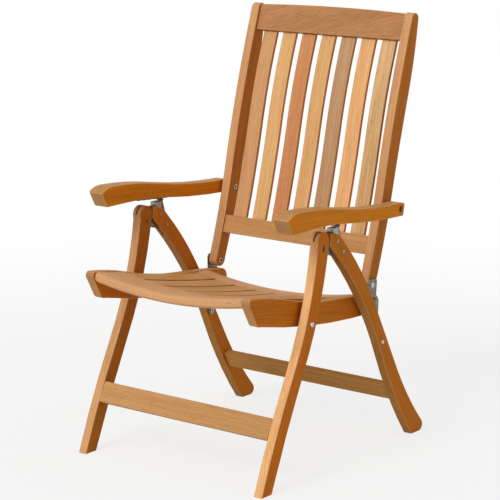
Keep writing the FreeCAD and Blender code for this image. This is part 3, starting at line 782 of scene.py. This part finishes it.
linkBolt = {"radius": 4 * mm, "head": 5.2 * mm, "headHeight": 2 * mm}
hardware("link_pivot_heads", "rear_frame", pivots["link_fold"], [
    (shank(linkNut, legOuter, linkBolt["radius"]), roundSides),
    (nut(linkNut, smallNut["radius"], smallNut["height"]), hexSides),
    (domed(legOuter, linkBolt["head"], linkBolt["headHeight"]), roundSides),
], brightSteel, ["link_bolts"])

backBolt = {"radius": 5 * mm, "head": 7.2 * mm, "headHeight": 2 * mm}
hardware("back_pivot_heads", "back_pivot_bolts", pivots["back_recline"], [
    (shank(stileNut, plateOuter + clear, backBolt["radius"]), roundSides),
    (nut(stileNut, smallNut["radius"], smallNut["height"]), hexSides),
    (domed(plateOuter + clear, backBolt["head"], backBolt["headHeight"]), roundSides),
], brightSteel, ["back_pivot_bolts"])

armBolt = {
    "radius": 4.5 * mm,
    "neck": 4.05 * mm,
    "neckLength": 3 * mm,
    "head": 7.5 * mm,
    "headHeight": 3.3 * mm,
}
armFloor = armHead - armBolt["headHeight"]
hardware("arm_pivot_heads", "arm_pivot_bolts", pivots["arm_recline"], [
    (shank(armFloor - armBolt["neckLength"], armFloor, armBolt["neck"]), roundSides),
    (domed(armFloor, armBolt["head"], armBolt["headHeight"]), roundSides),
], brownedSteel)
hardware("arm_pivot_nuts", "arm_pivot_bolts", pivots["arm_recline"], [
    (shank(stileNut, armFloor - clear, armBolt["radius"]), roundSides),
    (nut(stileNut, smallNut["radius"], smallNut["height"]), hexSides),
], brightSteel, ["arm_pivot_bolts"])

bracketBolt = {
    "head": 5.6 * mm,
    "headHeight": 2.6 * mm,
    "nut": 5.525 * mm,
    "nutHeight": 2 * mm,
    "places": {"high": sidePoint(-32.1, 570.5), "low": sidePoint(-7.1, 540.9)},
}
for name, centre in bracketBolt["places"].items():
    inside = legInner - bracketBolt["nutHeight"]
    hardware("bracket_bolt_" + name, "rear_frame", centre, [
        (domed(legOuter, bracketBolt["head"], bracketBolt["headHeight"]), roundSides),
        (nut(inside, bracketBolt["nut"], bracketBolt["nutHeight"]), hexSides),
    ], steelPaintedWoodReflection)

linkRivet = {"head": 5.5 * mm, "headHeight": 1.3 * mm, "place": sidePoint(179, 375)}
hardware("link_rivets", "folding_links", linkRivet["place"], [
    (domed(linkOuter, linkRivet["head"], linkRivet["headHeight"]), roundSides),
], steelPaintedWoodReflection)

plateScrew = {
    "head": 4.2 * mm,
    "headHeight": 1.6 * mm,
    "places": [sidePoint(166, 389), sidePoint(167, 368)],
}
for index, centre in enumerate(plateScrew["places"]):
    hardware(f"plate_screw_{index + 1}", "seat", centre, [
        (domed(plateOuter, plateScrew["head"], plateScrew["headHeight"]), roundSides),
    ], steelPaintedWoodReflection)
print("hardware done")


# The racks and the brackets' cross pins sit a little higher than their solids, as in the photograph
raised = {
    "by": 6 * mm,
    "bracketFrom": 588 * mm,  # what is above this moves
    "sharpAngle": 30,
}
# the bracket's strip, folded into a saddle under the cross pin
saddle = {
    "side": [(-47, 592.6), (-47, 604), (-25, 604), (-25, 584.5)],
    "wide": 20 * mm,
    "arris": 1.2 * mm,
}


def raisedPiece(node, above):
    mesh = bmesh.new()
    mesh.from_mesh(frame["nodes"][node].data)
    for vert in mesh.verts:
        if vert.co.z > above:
            vert.co.z += raised["by"]
    for face in mesh.faces:
        face.smooth = True
    sharpenAbove(mesh, raised["sharpAngle"])
    bmesh.ops.remove_doubles(mesh, verts=mesh.verts, dist=closest)
    piece = newPiece("raised_" + node, mesh, zincPlate)
    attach(piece, frame["nodes"][node]["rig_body"])
    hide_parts(node)


def saddlePiece(hand):
    half = saddle["wide"] / 2
    mesh = prism(saddle["side"], legMiddle - half, legMiddle + half, handSide(hand))
    roundArrises(mesh, saddle["arris"])
    piece = newPiece("bracket_saddle_" + hand, mesh, foldedSteel)
    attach(piece, "rear_frame")


for hand in ("left", "right"):
    raisedPiece("armrest_rack_" + hand, 0)
    raisedPiece("leg_bracket_" + hand, raised["bracketFrom"])
    saddlePiece(hand)

# the solids that no piece replaces are steel
for node, solid in frame["nodes"].items():
    if not solid.hide_render:
        solid.data.materials.clear()
        turned = "link_stubs" in node or "sleeves" in node
        solid.data.materials.append(brightSteel if turned else zincPlate)
print("steel strips dressed")


# Floor, light and camera
studio = {
    "floorSize": 60.0,
    "paper": "#E1E1DF",
    "skyDirection": (-0.05, -0.77, 0.63),
    "skyPower": 1.5,
    "skyAngle": 28,
    "worldLight": 0.55,
    "nearWhite": 0.76,  # how much of the paper's own shade the camera doesn't see near the chair
    "nearReach": 0.9,
    "farReach": 3.0,  # from here on it sees white alone
}
camera = {
    "place": (2.935, -3.8555, 1.5345),
    "target": (0, -0.017, 0.50545),
    "lens": 141.32,
    "sensor": 36,
    "roll": 0.09,
    "farthest": 50,
}
white = (1, 1, 1, 1)


def whiteSeen(tree):
    # what the camera sees, also in steel and glass
    rays = addNode(tree, "ShaderNodeLightPath").outputs
    seen = addNode(tree, "ShaderNodeMath", larger, {
        0: rays["Is Camera Ray"], 1: rays["Is Glossy Ray"],
    }, 0)
    return addNode(tree, "ShaderNodeMath", larger, {0: seen, 1: rays["Is Transmission Ray"]}, 0)


floorMesh = bmesh.new()
bmesh.ops.create_grid(floorMesh, x_segments=1, y_segments=1, size=studio["floorSize"] / 2)
floor = newPiece("paleFloor", floorMesh)

# Matt white paper, that fades into the background away from the chair and keeps its shadow
paperMaterial, floorTree = newMaterial("mattWhitePaper")
paper = addNode(floorTree, "ShaderNodeBsdfDiffuse", None, {"Color": linear(studio["paper"])}, 0)
glow = addNode(floorTree, "ShaderNodeEmission", None, {"Color": white, "Strength": 1.0}, 0)
floorPlace = addNode(floorTree, "ShaderNodeTexCoord", output="Object")
reach = addNode(floorTree, "ShaderNodeVectorMath", {"operation": "LENGTH"}, {0: floorPlace}, "Value")
fade = addNode(floorTree, "ShaderNodeMapRange", softStep, {
    0: reach, 1: studio["nearReach"], 2: studio["farReach"], 3: studio["nearWhite"], 4: 1.0,
}, 0)
shown = addNode(floorTree, "ShaderNodeMath", multiply, {0: whiteSeen(floorTree), 1: fade}, 0)
blend = addNode(floorTree, "ShaderNodeMixShader", None, {0: shown, 1: paper, 2: glow}, 0)
addNode(floorTree, "ShaderNodeOutputMaterial", None, {"Surface": blend})
floor.data.materials.append(paperMaterial)

# One large soft light from the front and above, as a clouded sky gives
lamp = bpy.data.lights.new("softSky", "SUN")
lamp.energy = studio["skyPower"]
lamp.angle = math.radians(studio["skyAngle"])
holder = bpy.data.objects.new("softSky", lamp)
bpy.context.scene.collection.objects.link(holder)
holder.rotation_euler = (-Vector(studio["skyDirection"])).to_track_quat("-Z", "Y").to_euler()

world = bpy.data.worlds.new("whiteStudio")
bpy.context.scene.world = world
world.use_nodes = True
worldTree = world.node_tree
worldTree.nodes.clear()
strength = addNode(worldTree, "ShaderNodeMapRange", softStep, {
    0: whiteSeen(worldTree), 1: 0.0, 2: 1.0, 3: studio["worldLight"], 4: 1.0,
}, 0)
background = addNode(worldTree, "ShaderNodeBackground", None, {"Color": white, "Strength": strength}, 0)
addNode(worldTree, "ShaderNodeOutputWorld", None, {"Surface": background})

lens = bpy.data.cameras.new("photoCamera")
lens.lens = camera["lens"]
lens.sensor_width = camera["sensor"]
lens.clip_end = camera["farthest"]
eye = bpy.data.objects.new("photoCamera", lens)
bpy.context.scene.collection.objects.link(eye)
eye.location = camera["place"]
gaze = (Vector(camera["target"]) - Vector(camera["place"])).to_track_quat("-Z", "Y").to_matrix()
eye.rotation_euler = (gaze @ Matrix.Rotation(math.radians(camera["roll"]), 3, "Z")).to_euler()
bpy.context.scene.camera = eye
bpy.context.scene.view_settings.view_transform = "Standard"
print("studio ready")
